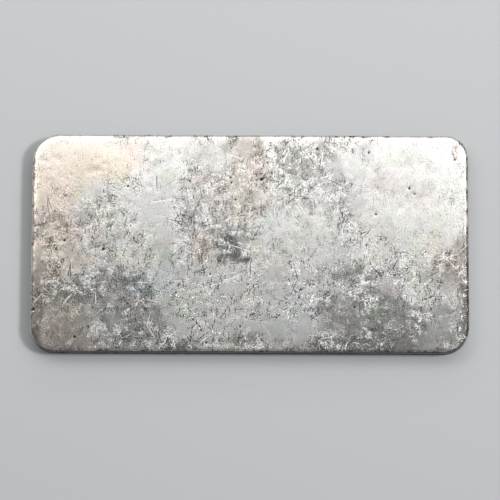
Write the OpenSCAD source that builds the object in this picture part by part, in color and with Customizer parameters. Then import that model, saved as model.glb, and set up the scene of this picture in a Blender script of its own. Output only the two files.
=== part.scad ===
// Small flat metal ingot: one bar, rolled to thickness, sheared to length and
// width, with its four corners and both rims rounded off by filing and wear.
// Origin: middle of the underside. X runs along the bar, Y across it, Z up.

/* [Bar] */
// Overall length
bar_length = 50.8; // [30:0.1:120]
// Overall width
bar_width = 25.6; // [20:0.1:60]
// Rolled thickness
bar_thickness = 2.3; // [1.2:0.1:8]

/* [Corners] */
// Radius of the corner at the left end of the front edge
front_left_r = 3.0; // [1.5:0.1:8]
// Radius of the corner at the right end of the front edge
front_right_r = 3.0; // [1.5:0.1:8]
// Radius of the corner at the right end of the back edge
back_right_r = 2.7; // [1.5:0.1:8]
// Radius of the corner at the left end of the back edge
back_left_r = 3.2; // [1.5:0.1:8]

/* [Rims] */
// Round between the upper face and the sheared edge
upper_rim_r = 0.35; // [0.1:0.05:0.5]
// Round between the underside and the sheared edge
lower_rim_r = 0.25; // [0.1:0.05:0.5]

/* [Hidden] */
$fn = 64;

half_length = bar_length / 2;
half_width = bar_width / 2;

// Distance in from the edge at which both faces have become flat
rim_w = max(upper_rim_r, lower_rim_r);

// The corners, anticlockwise from the front left, each as [centre, radius]
corners = [
    [[-half_length + front_left_r, -half_width + front_left_r], front_left_r],
    [[half_length - front_right_r, -half_width + front_right_r], front_right_r],
    [[half_length - back_right_r, half_width - back_right_r], back_right_r],
    [[-half_length + back_left_r, half_width - back_left_r], back_left_r],
];

// Outward direction of the straight edge that follows each corner: front, right, back, left
outward = [[0, -1], [1, 0], [0, 1], [-1, 0]];

function following(i) = (i + 1) % len(corners);

// Where corner i meets a straight edge facing `out`, `inset` in from the edge
function tangent_point(i, out, inset = 0) = corners[i][0] + (corners[i][1] - inset) * out;

// Section through the sheared edge: x runs inwards from the edge and y up the thickness
module edge_section(depth) {
    polygon([
        [0, lower_rim_r],
        [lower_rim_r, 0],
        [depth, 0],
        [depth, bar_thickness],
        [upper_rim_r, bar_thickness],
        [0, bar_thickness - upper_rim_r],
    ]);
    translate([lower_rim_r, lower_rim_r])
        circle(lower_rim_r);
    translate([upper_rim_r, bar_thickness - upper_rim_r])
        circle(upper_rim_r);
}

// Rounded corner, turned about the centre of its arc
module corner_post(i) {
    translate(corners[i][0])
        rotate_extrude()
            translate([corners[i][1], 0])
                mirror([1, 0])
                    edge_section(corners[i][1]);
}

// Straight sheared edge from corner i to the next corner
module straight_edge(i) {
    start = tangent_point(i, outward[i]);
    finish = tangent_point(following(i), outward[i]);
    translate(start)
        rotate([0, 0, 90 * i])
            rotate([90, 0, 90])
                linear_extrude(norm(finish - start))
                    edge_section(2 * rim_w);
}

// Flat middle of the bar, which stops where the rims begin
module flat_middle() {
    linear_extrude(bar_thickness)
        polygon([
            for (i = [0:len(corners) - 1])
                for (end = [i, following(i)])
                    tangent_point(end, outward[i], rim_w)
        ]);
}

module ingot() {
    color("silver")
        union() {
            flat_middle();
            for (i = [0:len(corners) - 1]) {
                corner_post(i);
                straight_edge(i);
            }
        }
}

ingot();
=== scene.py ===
import math
import random

import bmesh
import bpy
import numpy as np
from mathutils import Matrix, Vector, noise


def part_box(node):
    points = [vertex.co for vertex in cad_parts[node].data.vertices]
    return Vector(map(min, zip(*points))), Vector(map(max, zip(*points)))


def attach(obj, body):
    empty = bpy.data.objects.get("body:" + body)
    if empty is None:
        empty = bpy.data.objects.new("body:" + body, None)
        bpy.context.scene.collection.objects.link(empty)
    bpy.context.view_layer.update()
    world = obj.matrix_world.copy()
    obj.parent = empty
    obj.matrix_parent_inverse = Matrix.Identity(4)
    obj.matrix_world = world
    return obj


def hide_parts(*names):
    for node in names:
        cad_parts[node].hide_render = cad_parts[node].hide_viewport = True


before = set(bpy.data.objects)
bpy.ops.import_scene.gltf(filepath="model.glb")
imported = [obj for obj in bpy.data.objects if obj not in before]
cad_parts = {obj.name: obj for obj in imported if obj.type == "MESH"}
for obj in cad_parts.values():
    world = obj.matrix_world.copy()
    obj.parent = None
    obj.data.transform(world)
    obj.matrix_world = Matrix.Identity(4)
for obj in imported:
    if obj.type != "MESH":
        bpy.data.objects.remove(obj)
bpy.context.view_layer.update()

# --------------------------------------------------------------------------------------------------
# Ingot: blank. The bar is one piece of rolled silver-coloured sheet, sheared on all four sides, with
# its corners and rims filed round. A box is divided into small cells, and its corners and rims are
# bent round. Places are in millimetres from the middle of the bar, x to the right and y to the back.
# --------------------------------------------------------------------------------------------------
MM = 0.001
lowest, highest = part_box("ingot")
length, width, thickness = (highest - lowest) / MM
half_length, half_width = length / 2, width / 2

# The radius of each corner, by its side along x and along y
corner_radii = {(-1, -1): 3.0, (1, -1): 3.0, (1, 1): 2.7, (-1, 1): 3.2}
upper_rim = 0.35
lower_rim = 0.25
coarse_cell = 0.29
no_length = 1e-6
tiny = 1e-9

blank = bmesh.new()
full_size = Matrix.Diagonal((length, width, thickness, 1))
on_floor = Matrix.Translation((0, 0, thickness / 2))
bmesh.ops.create_cube(blank, size=1.0, matrix=on_floor @ full_size)


def runs_along(edge, axis):
    start, end = (corner.co for corner in edge.verts)
    return abs(end[axis] - start[axis]) > no_length


def is_above_underside(edge):
    return max(corner.co.z for corner in edge.verts) > no_length


cells = ((length, coarse_cell), (width, coarse_cell), (thickness, coarse_cell / 2))
for axis, (span, cell) in enumerate(cells):
    lengthwise = [edge for edge in blank.edges if runs_along(edge, axis)]
    bmesh.ops.subdivide_edges(
        blank, edges=lengthwise, cuts=round(span / cell) - 1, use_grid_fill=True
    )
# Above the underside the cells are half as wide
level = [edge for edge in blank.edges if not runs_along(edge, 2) and is_above_underside(edge)]
bmesh.ops.subdivide_edges(blank, edges=level, cuts=1, use_grid_fill=True)

bar_mesh = bpy.data.meshes.new("ingot_worn")
blank.to_mesh(bar_mesh)
blank.free()
for face in bar_mesh.polygons:
    face.use_smooth = True


def read_points():
    values = np.empty(len(bar_mesh.vertices) * 3)
    bar_mesh.vertices.foreach_get("co", values)
    return values.reshape(-1, 3)


def write_points(points):
    bar_mesh.vertices.foreach_set("co", points.ravel())
    bar_mesh.update()


def bend_round(across, up):
    """Bends a square corner round. Both shares are 0 where the bend starts and 1 at a flat side."""
    reach = np.maximum(across, up)
    angle = np.minimum(across, up) / np.maximum(reach, tiny) * math.pi / 4
    longer, shorter = reach * np.cos(angle), reach * np.sin(angle)
    return np.where(across >= up, longer, shorter), np.where(across >= up, shorter, longer)


points = read_points()
side = np.where(points[:, :2] < 0, -1.0, 1.0)
half = np.array([half_length, half_width])
radius = np.array([corner_radii[tuple(int(s) for s in pair)] for pair in side])

# The rims: each point within a rim's reach moves in and up or down, onto its round
for rim, below in ((upper_rim, thickness - points[:, 2]), (lower_rim, points[:, 2])):
    inset = (half - np.abs(points[:, :2])).min(axis=1)
    over = np.clip(1 - inset / rim, 0, 1)
    up = np.clip(1 - below / rim, 0, 1)
    bent_over, bent_up = bend_round(over, up)
    moved_in = rim * (over - bent_over)
    drop = rim * (up - bent_up)
    points[:, 2] += np.where(below < thickness / 2, -drop if rim == upper_rim else drop, 0)
    past = np.abs(points[:, :2]) - (half - radius[:, None])
    in_corner = (past > 0).all(axis=1)
    shrink = (radius - inset - moved_in) / (radius - inset)
    nearest = (half - np.abs(points[:, :2])) <= inset[:, None] + tiny
    straight = np.abs(points[:, :2]) - nearest * moved_in[:, None]
    cornered = (half - radius[:, None]) + past * shrink[:, None]
    points[:, :2] = side * np.where(in_corner[:, None], cornered, straight)

# The corners, as seen from above: each square one is bent round to its own radius
past = (np.abs(points[:, :2]) - (half - radius[:, None])) / radius[:, None]
in_corner = (past > 0).all(axis=1)
past_x, past_y = np.clip(past.T, 0, None)
turned = np.stack(bend_round(past_x, past_y), axis=1)
rounded = side * ((half - radius[:, None]) + turned * radius[:, None])
points[:, :2] = np.where(in_corner[:, None], rounded, points[:, :2])
write_points(points)

# The way each point faces, and how far that is sideways and upwards, from 0 to 1
facing = np.empty(len(points) * 3)
bar_mesh.vertex_normals.foreach_get("vector", facing)
facing = facing.reshape(-1, 3)
on_wall = np.clip(1 - np.abs(facing[:, 2]) * 1.05, 0, 1)
on_top = np.clip(facing[:, 2], 0, 1)

# --------------------------------------------------------------------------------------------------
# Ingot: wear. Rolling left the faces slightly wavy, and handling left them dinged, pitted and scored,
# with nicks in the rims. The shears left upright drag marks on the sides. All of it is cut inwards
# from the blank. Tarnish lies on the face in clouds, and dirt in what is cut.
# --------------------------------------------------------------------------------------------------
random.seed(7)

wave_depth = 0.016
ripple_depth = 0.0025
crumple_depth = 0.0015
drag_depth = 0.024
droop_reach = 1.1
ding_count = 300
ding_depth_share = 0.014
pit_depth = 0.03
nick_count = 420
nick_depth_share = 0.2


def lumps(size, seed, octaves=2, stretch=(1, 1, 1)):
    """Smooth random heights, about -1 to 1, with lumps of this size at every point of the bar."""
    shifted = points / (size * np.array(stretch)) + seed * 17.3
    return np.array([noise.fractal(Vector(spot), 1.0, 2.0, octaves) for spot in shifted])


def rise(values, low, high):
    """0 up to low and 1 from high on, or the other way round where low is the larger."""
    share = np.clip((values - low) / (high - low), 0, 1)
    return share * share * (3 - 2 * share)


# How closely each place is scratched and speckled. Some spots are smoother or rougher than the rest,
# as (x, y, reach x, reach y, share)
spots = (
    (-19.0, 10.5, 9.0, 3.0, 0.14), (-20.5, 8.2, 4.5, 2.2, 0.2), (-8.5, 11.0, 5.0, 1.5, 0.15),
    (18.5, 9.0, 6.5, 6.0, 0.08), (18.5, 3.0, 6.5, 3.2, 0.12), (20.0, 0.5, 3.0, 1.6, 0.25),
    (5.5, 1.5, 5.0, 3.2, 0.3), (9.5, -1.2, 3.4, 1.6, 0.35), (-10.6, 7.2, 2.6, 2.8, 0.1),
    (-12.4, 3.4, 2.6, 2.0, 0.1), (-9.8, 3.0, 2.4, 1.6, 0.15), (-2.3, -5.6, 1.8, 0.9, 0.2),
    (-10.2, -7.8, 1.6, 1.6, 0.3), (-23.0, -9.5, 2.4, 2.4, 0.3), (10.8, -9.2, 3.0, 2.0, 0.25),
    (3.0, -6.0, 2.0, 1.2, 0.35), (16.5, -8.2, 3.0, 1.2, 0.4), (-15.5, -5.4, 4.5, 2.6, 0.9),
    (22.2, -7.7, 1.5, 0.7, 0.0), (20.2, -11.7, 1.0, 1.0, 0.0), (5.5, 10.0, 4.0, 2.6, 0.8),
    (-15.5, -1.6, 5.0, 2.0, 0.85), (-22.8, 1.4, 1.8, 2.6, 0.8), (-2.5, -8.0, 2.4, 2.0, 0.8),
    (-16.5, 3.0, 3.5, 2.4, 1.0), (-5.0, 2.5, 4.5, 2.6, 1.0), (2.0, 7.5, 3.0, 2.0, 1.0),
    (19.6, -5.4, 2.4, 2.4, 1.0),
)
ragged = lumps(1.1, 11, 3)
worked = rise(lumps(2.4, 12, 2) + 0.25 * lumps(0.8, 17), -0.6, 0.35)
for x, y, reach_x, reach_y, share in spots:
    apart = np.hypot((points[:, 0] - x) / reach_x, (points[:, 1] - y) / reach_y)
    worked += (share - worked) * rise(apart + 0.3 * ragged, 1.25, 0.6) * on_top

# Tarnish: its depth, 0 or less where it is bare and up to 1, and its tone from -1, cold, to 1, warm,
# as (x, y, reach x, reach y, depth, tone)
clouds = (
    (-19.0, 9.0, 6.5, 3.8, 0.04, 0.9), (-22.0, 6.2, 3.8, 2.8, -0.1, 0.9),
    (-22.8, 0.4, 2.4, 3.6, 0.44, 0.8), (-23.6, -4.6, 2.0, 3.0, 0.60, 0.7),
    (-21.0, -9.6, 3.2, 3.4, 0.54, 0.7), (-20.4, -2.2, 2.8, 1.5, -0.25, 0.7),
    (-19.6, -5.6, 4.2, 1.6, 0.88, 0.3), (-12.9, -8.6, 5.5, 4.0, 0.66, 0.0),
    (-8.4, -11.9, 2.6, 1.3, 0.7, 0.0), (-16.8, -4.4, 3.4, 1.6, 0.62, -0.2),
    (-16.5, 5.0, 3.2, 2.4, 0.30, 0.1), (-12.4, 4.8, 2.4, 3.6, 0.0, 0.0),
    (-12.4, -5.0, 2.8, 1.4, 0.68, -0.8), (-18.5, 3.2, 2.6, 1.2, 0.44, 0.3),
    (-7.0, 3.2, 2.0, 3.0, 0.54, 0.0), (-5.8, 7.5, 2.0, 1.6, 0.44, 0.3),
    (-3.9, 5.2, 2.4, 2.4, 0.50, 0.2), (-4.8, 10.6, 3.0, 2.4, 0.42, 0.2),
    (0.0, 7.3, 3.4, 3.6, 0.44, 0.6), (-0.4, 11.2, 2.6, 1.6, 0.62, 0.6),
    (7.3, 9.5, 4.8, 3.2, 0.58, 0.2), (7.4, 5.4, 1.8, 1.6, 0.48, 0.0),
    (10.8, 5.6, 2.6, 3.6, 0.50, -0.2), (12.8, 10.0, 2.0, 2.0, 0.46, 0.0),
    (17.5, 8.0, 5.5, 3.6, 0.40, 0.2), (18.0, 1.2, 6.0, 3.4, 0.14, 0.2),
    (21.0, -0.4, 1.8, 1.8, 0.24, 0.5), (22.9, -3.2, 1.9, 2.0, 0.60, 0.6),
    (20.0, -4.0, 1.8, 1.0, 0.5, 0.2), (11.8, -3.6, 4.6, 1.4, 0.66, 0.0),
    (13.4, -7.4, 2.4, 2.0, 0.9, 0.0), (9.6, -5.6, 2.0, 1.3, 0.1, 0.0),
    (16.4, -3.9, 1.6, 1.6, 0.3, 0.0), (18.4, -9.4, 2.0, 1.4, 0.86, 0.0),
    (14.6, -9.4, 7.2, 4.0, 0.74, 0.1), (9.2, -8.0, 2.4, 2.6, 0.70, 0.0),
    (8.8, -11.6, 2.4, 1.0, 0.7, 0.0), (22.6, -9.4, 2.2, 2.8, 0.50, 0.1),
    (19.2, -5.6, 1.3, 1.6, 0.10, 0.0), (-4.5, -7.4, 5.4, 4.4, -0.16, 0.1),
    (-1.2, -4.2, 3.4, 1.5, 0.05, 0.1), (-5.5, -5.4, 2.6, 1.5, -0.2, 0.0),
    (-0.4, -7.1, 1.8, 1.5, 0.28, 0.3), (-0.4, -11.6, 1.8, 1.2, 0.5, 0.3),
    (5.3, -8.0, 2.8, 3.4, 0.04, -0.4), (-10.0, -3.8, 1.7, 2.6, 0.08, -0.7),
    (-10.4, 2.4, 2.4, 2.2, -0.1, 0.0), (-17.8, 1.6, 2.0, 0.9, 0.2, 0.3),
    (-12.8, -2.2, 2.6, 1.2, 0.02, 0.3), (-5.4, -0.3, 1.6, 2.0, 0.42, 0.7),
    (-3.4, 1.0, 2.2, 1.7, 0.60, 0.2), (-2.1, -0.3, 1.2, 2.0, 1.0, -0.2),
    (-0.6, 1.0, 1.8, 1.3, 0.66, -0.1), (-0.4, -2.05, 0.7, 0.35, 1.0, 0.0),
    (-3.1, -1.9, 0.8, 0.8, 0.85, 0.6), (24.6, -0.8, 1.3, 1.8, 0.6, 0.6),
    (25.2, -6.2, 1.0, 5.6, 0.9, 0.3), (-24.9, -8.6, 1.1, 4.4, 0.8, 0.7),
    (3.5, 1.4, 3.2, 2.2, 0.10, -0.1), (7.0, -0.6, 3.8, 2.6, 0.16, 0.1),
    (11.0, 0.4, 2.4, 2.4, 0.30, 0.0),
)
even_tarnish = 0.24
even_warmth = 0.25
tarnish = even_tarnish + 0.08 * lumps(5, 13, 3)
warmth = even_warmth + 0.4 * lumps(6, 14, 2) + 0.25 * rise(points[:, 0], -18.0, -24.0)
for x, y, reach_x, reach_y, cloud_depth, cloud_tone in clouds:
    apart = np.hypot((points[:, 0] - x) / reach_x, (points[:, 1] - y) / reach_y)
    cloud = rise(apart + 0.3 * ragged, 1.35, 0.5) * on_top
    tarnish += (cloud_depth - tarnish) * cloud
    warmth += (cloud_tone - warmth) * cloud
# The face grows darker towards its front edge
darker_to_front = rise(points[:, 1], -9.5, -12.5)
tarnish += 0.16 * darker_to_front
tarnish += 0.05 * lumps(1.6, 15, 2) + 0.05 * lumps(0.6, 16, 2, stretch=(1, 1.6, 1))

depth = np.zeros(len(points))
soil = np.zeros(len(points))

# Shearing drew the face down a little along each side, by these depths at left and right and at
# front and back
droops = ((0.05, 0.0), (0.015, 0.03))
past_corner = np.clip(np.abs(points[:, :2]) - (half - radius[:, None]), 0, None)
to_sides = half - np.abs(points[:, :2])
from_arc = radius - np.hypot(past_corner[:, 0], past_corner[:, 1])
from_edge = np.where(in_corner, from_arc, to_sides.min(axis=1))
nearest = to_sides == to_sides.min(axis=1)[:, None]
outward = side * np.where(in_corner[:, None], past_corner, nearest)
outward /= np.linalg.norm(outward, axis=1)[:, None]
droop = np.zeros(len(points))
for share, (low_side, high_side) in zip(outward.T, droops):
    droop += np.where(share < 0, low_side, high_side) * share**2
depth += droop * np.clip(1 - from_edge / droop_reach, 0, 1) ** 2 * on_top

# Rolling waves, ripples, crumpled patches, and the drag marks of the shears
swell = lumps(8, 1)
depth += wave_depth * (swell - swell.min())
depth += ripple_depth * (1 + lumps(2.2, 2))
depth += crumple_depth * (1 + lumps(0.4, 3)) * worked * (1 - on_wall)
drag = lumps(0.22, 4, stretch=(1, 1, 7))
depth += on_wall * drag_depth * np.clip(0.5 + drag, 0, 1)

# Dings: shallow dents, most of them small, each longer one way
for _ in range(ding_count):
    x = random.uniform(-half_length, half_length)
    y = random.uniform(-half_width, half_width)
    ding_radius = random.choice((0.2, 0.25, 0.3, 0.4, 0.6))
    way = random.uniform(0, math.pi)
    across = (points[:, 0] - x) * math.cos(way) + (points[:, 1] - y) * math.sin(way)
    along = (points[:, 1] - y) * math.cos(way) - (points[:, 0] - x) * math.sin(way)
    near = (across / ding_radius) ** 2 + (along / ding_radius / random.uniform(1, 2.5)) ** 2
    ding_depth = ding_depth_share * ding_radius * random.uniform(0.3, 1)
    depth += ding_depth * np.clip(1 - near, 0, 1) ** 2 * (1 - on_wall)

# Pits: small holes full of dirt, as (x, y, radius)
pits = (
    (-21.5, 0.2, 0.17), (-17.0, -0.8, 0.2), (1.3, 7.5, 0.2), (-2.3, 7.7, 0.14), (-2.2, 7.1, 0.14),
    (-1.7, 5.1, 0.14), (18.5, 6.5, 0.15), (19.1, 5.8, 0.12), (23.8, 9.9, 0.15), (7.8, 11.1, 0.16),
    (13.8, 10.7, 0.12), (7.4, -4.9, 0.14), (5.9, -5.5, 0.14), (12.1, -7.5, 0.14),
    (-5.0, -11.7, 0.14), (-20.2, -11.1, 0.18), (-25.0, -7.9, 0.17), (-1.1, -9.8, 0.13),
    (-4.6, -3.7, 0.14), (-2.2, 11.2, 0.12), (14.6, 3.4, 0.13), (-14.2, 6.6, 0.14),
    (20.3, -1.0, 0.11), (22.1, -4.6, 0.12),
)
for x, y, pit_radius in pits:
    near = ((points[:, :2] - (x, y)) ** 2).sum(axis=1) / pit_radius**2
    hole = np.exp(-near) * on_top
    depth += pit_depth * hole
    soil = np.maximum(soil, 1.5 * hole)

# Scores: the longer lines, as (x, y) at each point along them, half width, depth and share of dirt
scores = (
    (((-7.0, -4.5), (-5.1, -5.1), (-3.1, -4.5)), 0.10, 0.012, 0.7),
    (((-3.1, -4.5), (-0.8, -3.5)), 0.09, 0.012, 0.0),
    (((-10.4, -3.2), (-8.9, -3.8)), 0.09, 0.008, 0.8),
    (((-9.0, -4.4), (-7.2, -4.3)), 0.08, 0.006, 0.7),
    (((-5.4, -4.8), (-5.1, -6.3)), 0.09, 0.008, 0.7),
    (((-6.0, -6.8), (-4.8, -7.1)), 0.09, 0.008, 0.7),
    (((-7.4, -7.1), (-6.8, -7.8)), 0.10, 0.02, 0.0),
    (((-0.5, -8.9), (2.3, -9.3)), 0.09, 0.008, 0.8),
    (((-10.5, -9.3), (-10.4, -11.4)), 0.11, 0.008, 0.7),
    (((-3.8, -10.6), (-3.6, -11.6)), 0.11, 0.008, 0.7),
    (((-4.7, 1.0), (-4.7, -1.5)), 0.08, 0.006, 0.6),
    (((-11.3, 4.9), (-9.4, 5.2)), 0.09, 0.006, 0.7),
    (((-10.9, 7.8), (-10.8, 6.0)), 0.10, 0.008, 0.8),
    (((-10.3, 7.8), (-10.5, 6.1)), 0.08, 0.006, 0.6),
    (((-1.4, 1.9), (-0.2, 1.2)), 0.10, 0.008, 0.8),
    (((5.0, -5.7), (6.7, -6.2)), 0.08, 0.008, 0.8),
    (((4.8, -8.1), (5.7, -8.4)), 0.10, 0.008, 0.7),
    (((1.7, -9.6), (2.4, -10.7), (2.7, -11.8)), 0.10, 0.008, 0.7),
    (((13.1, -9.7), (13.9, -10.2), (14.7, -10.4)), 0.11, 0.03, 0.0),
    (((-18.3, -0.8), (-16.8, -0.4), (-15.5, 0.2)), 0.09, 0.012, 0.0),
    (((-17.7, -4.8), (-16.5, -5.1)), 0.09, 0.015, 0.0),
    (((-23.6, 5.6), (-23.5, 4.2)), 0.10, 0.006, 0.8),
    (((-24.7, 8.4), (-22.6, 8.4)), 0.08, 0.002, 0.0),
    (((-22.3, 7.7), (-19.8, 6.8)), 0.09, 0.003, 0.0),
    (((12.3, 5.9), (13.6, 5.9)), 0.09, 0.006, 0.2),
    (((19.9, -6.7), (21.2, -6.2), (22.6, -6.2)), 0.10, 0.012, 0.8),
    (((22.0, -8.5), (23.6, -8.2)), 0.09, 0.012, 0.7),
)
for line, half_line, line_depth, dirt in scores:
    for start, end in zip(line, line[1:]):
        run = np.array(end) - start
        share = np.clip(((points[:, :2] - start) @ run) / (run @ run), 0, 1)
        off = np.linalg.norm(points[:, :2] - (start + share[:, None] * run), axis=1)
        groove = np.exp(-((off / half_line) ** 2)) * on_top
        depth += line_depth * groove
        soil = np.maximum(soil, dirt * groove)

# Nicks in the rims and the sides
corners = ((-1, -1), (1, -1), (1, 1), (-1, 1))
outline = list(zip(corners, corners[1:] + corners[:1]))
for _ in range(nick_count):
    start, end = random.choice(outline)
    run = random.random()
    x, y = ((a + (b - a) * run) * h for a, b, h in zip(start, end, half))
    z = random.choice((thickness, thickness, thickness, 0, random.uniform(0, thickness)))
    nick_radius = random.choice((0.12, 0.15, 0.2, 0.3))
    near = ((points - (x, y, z)) ** 2).sum(axis=1) / nick_radius**2
    nick = np.exp(-near)
    depth += nick_depth_share * nick_radius * nick
    soil = np.maximum(soil, random.choice((0.0, 0.3, 0.9)) * nick)

points -= facing * depth[:, None]
write_points(points * MM)


def keep(name, values):
    """Keeps a value at each point of the bar for its material to read."""
    kept_values = bar_mesh.attributes.new(name, "FLOAT", "POINT").data
    kept_values.foreach_set("value", values.astype(np.float32))


# The upper rim keeps the face's colour down to where the side begins. The side's dark colour starts
# higher along the right and reaches over the front rim, as painted shade
front = np.clip(-facing[:, 1], 0, 1)
right = np.clip(facing[:, 0], 0, 1)
bright_rim = 0.3 - 0.28 * front - 0.22 * right
below_rim = rise(thickness - points[:, 2], bright_rim, bright_rim + 0.15)
keep("soil", np.clip(soil, 0, 1))
keep("side", np.clip(on_wall + 0.6 * front, 0, 1) * below_rim)
keep("front", front)
# The right rim: filed rough, and its colour darkened as painted shade
keep("filed_and_shaded", rise(facing[:, 0], 0.01, 0.12) * on_top)
keep("worked", np.clip(worked, 0, 1))
keep("tarnish", np.clip(tarnish, 0, 1))
keep("warmth", np.clip(warmth, -1, 1))

# --------------------------------------------------------------------------------------------------
# Ingot: finish. Bare silver-coloured metal, worn to a satin, under thin tarnish that is warmer or
# colder from cloud to cloud, with fine scratches, specks and small dark holes where it is worked, and
# painted glints on some scratches and dots. The sheared sides are burnished above and torn below. The
# front side and front rim are painted near black as shade, and the right rim is filed rough and painted
# darker as shade.
# --------------------------------------------------------------------------------------------------


class Layer:
    """One quantity that varies over the metal. Arithmetic on it adds the Math nodes for it."""

    def __init__(self, tree, socket):
        self.tree, self.socket = tree, socket

    def make(self, kind, settings=None, values=None, output=0):
        """Adds any other node from its type, its settings, then the values or links of its sockets."""
        node = self.tree.nodes.new("ShaderNode" + kind)
        for name, setting in (settings or {}).items():
            setattr(node, name, setting)
        for name, value in (values or {}).items():
            if isinstance(value, Layer):
                self.tree.links.new(value.socket, node.inputs[name])
            else:
                node.inputs[name].default_value = value
        return Layer(self.tree, node.outputs[output]) if node.outputs else None

    def work(self, operation, *values):
        return self.make("Math", {"operation": operation}, dict(enumerate(values)))

    def __add__(self, other):
        return self.work("ADD", self, other)

    def __radd__(self, other):
        return self.work("ADD", other, self)

    def __sub__(self, other):
        return self.work("SUBTRACT", self, other)

    def __rsub__(self, other):
        return self.work("SUBTRACT", other, self)

    def __mul__(self, other):
        return self.work("MULTIPLY", self, other)

    def __rmul__(self, other):
        return self.work("MULTIPLY", other, self)

    def __abs__(self):
        return self.work("ABSOLUTE", self)

    def larger(self, other):
        return self.work("MAXIMUM", self, other)

    def rise(self, low, high):
        """0 up to low and 1 from high on, or the other way round where low is the larger."""
        ends = {"Value": self, "From Min": low, "From Max": high}
        return self.make("MapRange", {"interpolation_type": "SMOOTHSTEP"}, ends)

    def blend(self, under, over, way="MIX"):
        """The colour under where this is 0 and the colour over where it is 1."""
        settings = {"data_type": "RGBA", "blend_type": way}
        return self.make("Mix", settings, {0: self, 6: under, 7: over}, 2)

    def scaled(self, scale, shift=0.0):
        """This vector times a scale for each axis, plus the same shift on all three."""
        triple = {0: self, 1: scale, 2: (shift, shift, shift)}
        return self.make("VectorMath", {"operation": "MULTIPLY_ADD"}, triple)

    def part(self, name):
        return self.make("SeparateXYZ", None, {0: self}, name)


metal = bpy.data.materials.new("worn_silver_metal")
metal.use_nodes = True
tree = metal.node_tree
tree.nodes.clear()
finish = Layer(tree, None)
place = finish.make("TexCoord", output="Object").scaled((1000, 1000, 1000))


def kept(name):
    return finish.make("Attribute", {"attribute_name": name}, output="Fac")


soiled, sheared_and_shaded, filed_and_shaded, busy = (kept(name) for name in ("soil", "side", "filed_and_shaded", "worked"))
tarnished, warm, shaded_front = (kept(name) for name in ("tarnish", "warmth", "front"))


def grain(size, shift, detail=2.0, roughness=0.5, squeeze=(1, 1, 1)):
    """Cloudy grain, about 0 to 1, with lumps of this size in millimetres."""
    spot = place.scaled(tuple(s / size for s in squeeze), shift)
    inputs = {"Vector": spot, "Scale": 1.0, "Detail": detail, "Roughness": roughness}
    return spot.make("TexNoise", None, inputs)


def mosaic(cell, shift):
    """A random mosaic on the face: the place from the middle of each tile, and its random values."""
    spot = place.scaled((1 / cell, 1 / cell, 0), shift)
    inputs = {"Vector": spot, "Scale": 1.0}
    middle = spot.make("TexVoronoi", {"voronoi_dimensions": "2D"}, inputs, "Position")
    apart = spot.make("VectorMath", {"operation": "SUBTRACT"}, {0: spot, 1: middle})
    return apart, Layer(tree, middle.socket.node.outputs["Color"])


def strokes(cell, reach, half_stroke, shift, share, spread=math.tau):
    """Straight scratches, one in this share of the tiles, each turned its own way about the upright."""
    apart, chance = mosaic(cell, shift)
    turn = (chance.part("X") - 0.5) * spread + math.pi / 2
    cosine, sine = turn.work("COSINE", turn), turn.work("SINE", turn)
    along = abs(apart.part("X") * cosine + apart.part("Y") * sine)
    across = abs(apart.part("Y") * cosine - apart.part("X") * sine)
    thin = across.rise(half_stroke / cell, half_stroke / cell / 2)
    line = thin * along.rise(reach / cell, reach / cell * 0.6)
    return line * chance.part("Y").rise(1 - share, 1 - share + 0.1)


def dots(cell, dot_radius, shift, share):
    """Round dots, one in this share of the tiles."""
    apart, chance = mosaic(cell, shift)
    away = apart.make("VectorMath", {"operation": "LENGTH"}, {0: apart}, "Value")
    dot = away.rise(dot_radius / cell, dot_radius / cell * 0.4)
    return dot * chance.part("Y").rise(1 - share, 1 - share + 0.05)


def contours(size, shift, detail, outer, inner):
    """Curled lines, where cloudy grain of this size passes through its middle value."""
    return abs(grain(size, shift, detail) - 0.5).rise(outer, inner)


# Soft mottling, straight-sided patches, and specks where the fine grain dips or peaks
mottle = grain(1.5, 7.0, 1.0)
patches = mosaic(1.3, 50.0)[1].part("Z")
fine = grain(0.1, 5.0, 1.0, 0.5, (1, 0.8, 1)) + (grain(0.7, 6.0, 1.0) - 0.5) * 0.16
dark_specks = fine.rise(0.385, 0.36)
light_specks = fine.rise(0.625, 0.65)

# Curled marks, straight scratches and dots. The glinting scratches are real grooves lightened as
# painted glints; the spark dots are painted glints alone
curls = contours(0.4, 9.0, 1.0, 0.04, 0.02).larger(contours(0.27, 10.0, 0.0, 0.035, 0.015))
turns = grain(0.9, 11.0, 1.0)
dark_curls = curls * turns.rise(0.53, 0.56)
light_curls = curls * turns.rise(0.45, 0.42)
upright = strokes(0.7, 0.34, 0.06, 2.0, 0.5, 0.5)
crossed = strokes(1.1, 0.5, 0.06, 5.0, 0.35).larger(strokes(2.6, 1.2, 0.06, 8.0, 0.5))
glinting = strokes(0.9, 0.4, 0.05, 17.0, 0.3).larger(strokes(2.1, 1.0, 0.05, 19.0, 0.35))
holes = dots(0.7, 0.11, 14.0, 0.25)
peened = dots(0.55, 0.11, 21.0, 0.35)
painted_glints = dots(0.8, 0.085, 33.0, 0.3)

# How strongly the marks show, and their relief in millimetres
lively = 0.12 + busy * 0.88
fine_relief, mark_relief, glint_relief, peened_relief = 0.004, 0.003, 0.004, 0.01
height = fine * fine_relief - upright * mark_relief - crossed * mark_relief
height = height - dark_curls * mark_relief + light_curls * mark_relief
height = (height - glinting * glint_relief - peened * peened_relief) * lively
bumped = height.make("Bump", None, {"Strength": 1.0, "Distance": 0.001, "Height": height})

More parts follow.
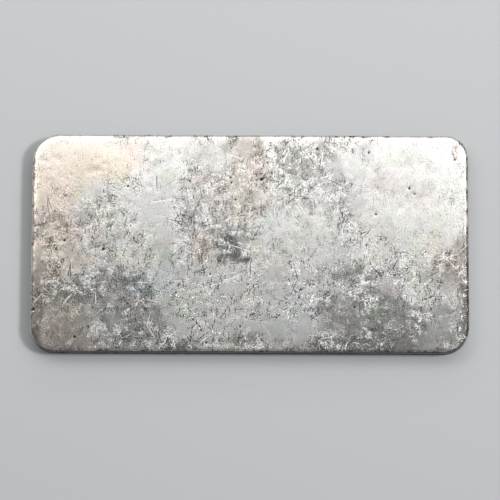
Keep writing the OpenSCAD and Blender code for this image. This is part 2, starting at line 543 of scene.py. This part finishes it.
# The face runs from bright to tarnished metal, tinted from place to place, with dirt over it
bright_metal, tarnished_metal = (0.98, 0.97, 0.95, 1), (0.09, 0.088, 0.083, 1)
warm_tint, cold_tint = (1.0, 0.885, 0.78, 1), (0.85, 0.94, 1.0, 1)
green_tint, pink_tint = (0.95, 1.0, 0.93, 1), (1.0, 0.95, 0.97, 1)
hole_dirt, packed_dirt = (0.06, 0.055, 0.05, 1), (0.03, 0.028, 0.025, 1)
hue = grain(3.0, 30.0, 1.0)
darker = dark_specks * 1.2 + dark_curls * 0.9 + upright * 1.0 + crossed * 1.0
# Lighter marks: metal bared through the tarnish, and the painted glints of the glinting scratches and
# spark dots
lighter = light_specks * 0.8 + light_curls * 1.0 + glinting * 1.2 + painted_glints * 1.5
# The tone deepens with tarnish, and the filed right rim is painted darker as shade
tone = tarnished - 0.14 + filed_and_shaded * 0.36 + busy * 0.06
tone = tone + (mottle - 0.5) * (0.06 + busy * 0.1) + (patches - 0.5) * 0.1
tone = tone + (darker * (1.1 - tarnished * 0.9) - lighter * (0.45 + tarnished * 0.8)) * lively
tone = tone.rise(-0.2, 1.1)
colour = tone.blend(bright_metal, tarnished_metal)
colour = warm.rise(0.0, 1.2).blend(colour, warm_tint, "MULTIPLY")
colour = warm.rise(0.0, -1.4).blend(colour, cold_tint, "MULTIPLY")
colour = hue.rise(0.5, 0.8).blend(colour, green_tint, "MULTIPLY")
colour = hue.rise(0.5, 0.2).blend(colour, pink_tint, "MULTIPLY")
colour = (holes * (0.2 + busy * 0.6)).blend(colour, hole_dirt)
colour = soiled.rise(0.15, 0.9).blend(colour, packed_dirt)

# The sides: drag marks, torn metal up to about this height, and on the front side and front rim a
# near-black painted shade in place of the metal's colours
torn_height = 1.25
dull_cut, bright_cut = (0.34, 0.335, 0.325, 1), (0.56, 0.55, 0.535, 1)
# The painted shade on the front is streaked by the drag marks above and darkest in the torn part below
deep_painted_shade, pale_painted_shade = (0.03, 0.029, 0.028, 1), (0.12, 0.117, 0.114, 1)
torn_metal, torn_painted_shade = (0.12, 0.116, 0.11, 1), (0.022, 0.021, 0.02, 1)
drag_marks = grain(0.18, 40.0, 1.0, 0.5, (1, 1, 0.12)).rise(0.35, 0.7)
torn = (grain(0.8, 44.0, 1.0) - 0.5 + (torn_height - place.part("Z"))).rise(-0.1, 0.15)
cut = (torn * 0.62).blend(drag_marks.blend(dull_cut, bright_cut), torn_metal)
front_painted_shade = (torn * 0.75).blend(drag_marks.blend(deep_painted_shade, pale_painted_shade), torn_painted_shade)
colour = sheared_and_shaded.rise(0.0, 0.8).blend(colour, shaded_front.rise(0.35, 0.85).blend(cut, front_painted_shade))

satin = 0.18
roughness = satin + busy * 0.05 + tarnished * 0.1 + soiled * 0.3 + filed_and_shaded * 0.4
roughness = roughness + sheared_and_shaded * (torn * 0.15 + 0.1)

inputs = {"Base Color": colour, "Metallic": 1.0, "Roughness": roughness, "Normal": bumped}
surface = finish.make("BsdfPrincipled", None, inputs)
finish.make("OutputMaterial", None, {"Surface": surface})

bar = bpy.data.objects.new("ingot_worn", bar_mesh)
bpy.context.scene.collection.objects.link(bar)
bar_mesh.materials.append(metal)
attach(bar, "root")
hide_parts("ingot")

# --------------------------------------------------------------------------------------------------
# Floor. A plain pale matt sheet, far larger than the view.
# --------------------------------------------------------------------------------------------------
floor_reach = 3
floor_mesh = bpy.data.meshes.new("floor")
floor_sheet = bmesh.new()
bmesh.ops.create_grid(floor_sheet, x_segments=1, y_segments=1, size=floor_reach)
floor_sheet.to_mesh(floor_mesh)
floor_sheet.free()
floor = bpy.data.objects.new("floor", floor_mesh)
bpy.context.scene.collection.objects.link(floor)
pale = bpy.data.materials.new("pale_matt")
pale.use_nodes = True
floor_inputs = pale.node_tree.nodes["Principled BSDF"].inputs
floor_inputs["Base Color"].default_value = (0.60, 0.615, 0.63, 1)
floor_inputs["Roughness"].default_value = 0.9
floor_inputs["Specular IOR Level"].default_value = 0.2
floor_mesh.materials.append(pale)

# --------------------------------------------------------------------------------------------------
# Light. Broad soft panels above and behind the bar shine in its face, a warm one on the left. A strong
# one on the right casts the shadow, and a pale even surround fills the rest. Sizes are in millimetres.
# --------------------------------------------------------------------------------------------------
surround = bpy.data.worlds.new("surround")
bpy.context.scene.world = surround
surround.use_nodes = True
surround_inputs = surround.node_tree.nodes["Background"].inputs
surround_inputs["Color"].default_value = (0.97, 0.985, 1.0, 1)
surround_inputs["Strength"].default_value = 0.28


def panel(name, place_mm, size_mm, radiance, light_colour, turned=None):
    """A soft rectangular light. It faces the bar, or straight down where a turn about z is given."""
    light = bpy.data.lights.new(name, "AREA")
    light.shape = "RECTANGLE"
    light.size, light.size_y = (s * MM for s in size_mm)
    light.energy = radiance * math.pi * light.size * light.size_y
    light.color = light_colour
    lamp = bpy.data.objects.new(name, light)
    lamp.location = Vector(place_mm) * MM
    if turned is None:
        lamp.rotation_euler = (-lamp.location).to_track_quat("-Z", "Y").to_euler()
    else:
        lamp.rotation_euler = (0, 0, math.radians(turned))
    lamp.visible_camera = False
    bpy.context.scene.collection.objects.link(lamp)


panel("back_panel", (36, 85, 150), (200, 110), 1.35, (1.0, 0.995, 0.98), turned=-9)
panel("warm_panel", (-84, 76, 150), (82, 92), 1.74, (1.0, 0.95, 0.88), turned=0)
panel("middle_panel", (0, 16, 149), (38, 24), 0.15, (1.0, 1.0, 1.0), turned=0)
panel("left_panel", (-240, 110, 130), (100, 70), 1.2, (1.0, 0.98, 0.94))
panel("rear_panel", (20, 260, 120), (300, 60), 1.2, (1.0, 1.0, 1.0))
panel("key_panel", (330, 14, 500), (100, 100), 47.5, (1.0, 1.0, 1.0))

# --------------------------------------------------------------------------------------------------
# Camera. It looks down on the bar from a little in front of it, with a long lens.
# --------------------------------------------------------------------------------------------------
camera_tilt = math.radians(9.9)
camera_roll = math.radians(0.22)
camera_distance = 400 * MM
aim = Vector((0.0, -0.87, thickness)) * MM
view_width = 57.95 * MM

lens = bpy.data.cameras.new("camera")
lens.sensor_width = 36
lens.lens = lens.sensor_width * camera_distance / view_width
lens.clip_start, lens.clip_end = 0.01, 10
camera = bpy.data.objects.new("camera", lens)
camera_turn = Matrix.Rotation(camera_tilt, 4, "X") @ Matrix.Rotation(camera_roll, 4, "Z")
camera_back = Matrix.Translation((0, 0, camera_distance))
camera.matrix_world = Matrix.Translation(aim) @ camera_turn @ camera_back
bpy.context.scene.collection.objects.link(camera)
bpy.context.scene.camera = camera
bpy.context.scene.view_settings.view_transform = "Standard"
